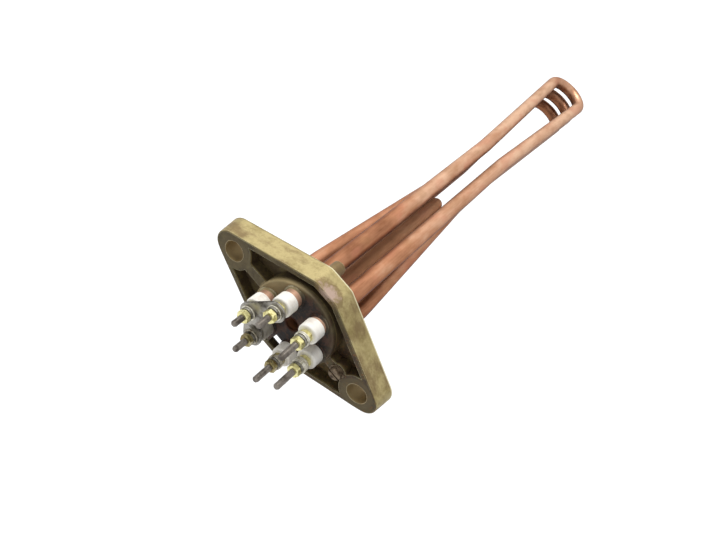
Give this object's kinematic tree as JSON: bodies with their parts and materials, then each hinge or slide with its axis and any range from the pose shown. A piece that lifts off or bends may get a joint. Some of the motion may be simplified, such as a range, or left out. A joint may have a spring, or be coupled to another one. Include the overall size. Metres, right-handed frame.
{
  "type": "immersion heating element",
  "caption": "Hairpin copper immersion heater bundle brazed into a rhombic two-bolt brass flange, with ceramic-insulated screw terminals and a central bulb pocket.",
  "frame": {"origin": "centre of the flange's sealing face, on the line between the two bolt holes", "axes": "+Y into the boiler along the tubes, +X along the flange's long axis, +Z towards the locating peg"},
  "size_m": [0.1038, 0.3959, 0.055],
  "materials": {
    "cast_brass": "satin as-cast, dull olive yellow with brown brazing stains",
    "copper_tube": "satin drawn copper, warm brown to pink",
    "resistance_wire": "dull drawn alloy wire",
    "packed_oxide": "matt packed powder",
    "pocket_tube": "satin copper, end closed and domed",
    "stud_steel": "dull grey threaded rod",
    "white_ceramic": "unglazed white, slightly dirty",
    "yellow_nut": "bright yellow passivated",
    "plain_washer": "plated, satin",
    "spring_steel": "dull plated",
    "link_zinc": "grey zinc plate",
    "earth_steel": "stained plated steel"
  },
  "bodies": {
    "root": {"flange": "cast_brass", "sheath_upper": "copper_tube", "coil_upper": "resistance_wire", "magnesia_upper": "packed_oxide", "sheath_middle": "copper_tube", "coil_middle": "resistance_wire", "magnesia_middle": "packed_oxide", "sheath_lower": "copper_tube", "coil_lower": "resistance_wire", "magnesia_lower": "packed_oxide", "bulb_pocket": "pocket_tube", "terminal_stud_1": "stud_steel", "ceramic_bush_1": "white_ceramic", "terminal_stud_2": "stud_steel", "ceramic_bush_2": "white_ceramic", "terminal_stud_3": "stud_steel", "ceramic_bush_3": "white_ceramic", "terminal_stud_4": "stud_steel", "ceramic_bush_4": "white_ceramic", "terminal_stud_5": "stud_steel", "ceramic_bush_5": "white_ceramic", "terminal_stud_6": "stud_steel", "ceramic_bush_6": "white_ceramic", "inner_nuts": "yellow_nut", "outer_nuts": "yellow_nut", "flat_washers": "plain_washer", "spring_washers": "spring_steel", "link_plate": "link_zinc", "earth_screw": "earth_steel", "earth_washer": "earth_steel"}
  },
  "joints": []
}
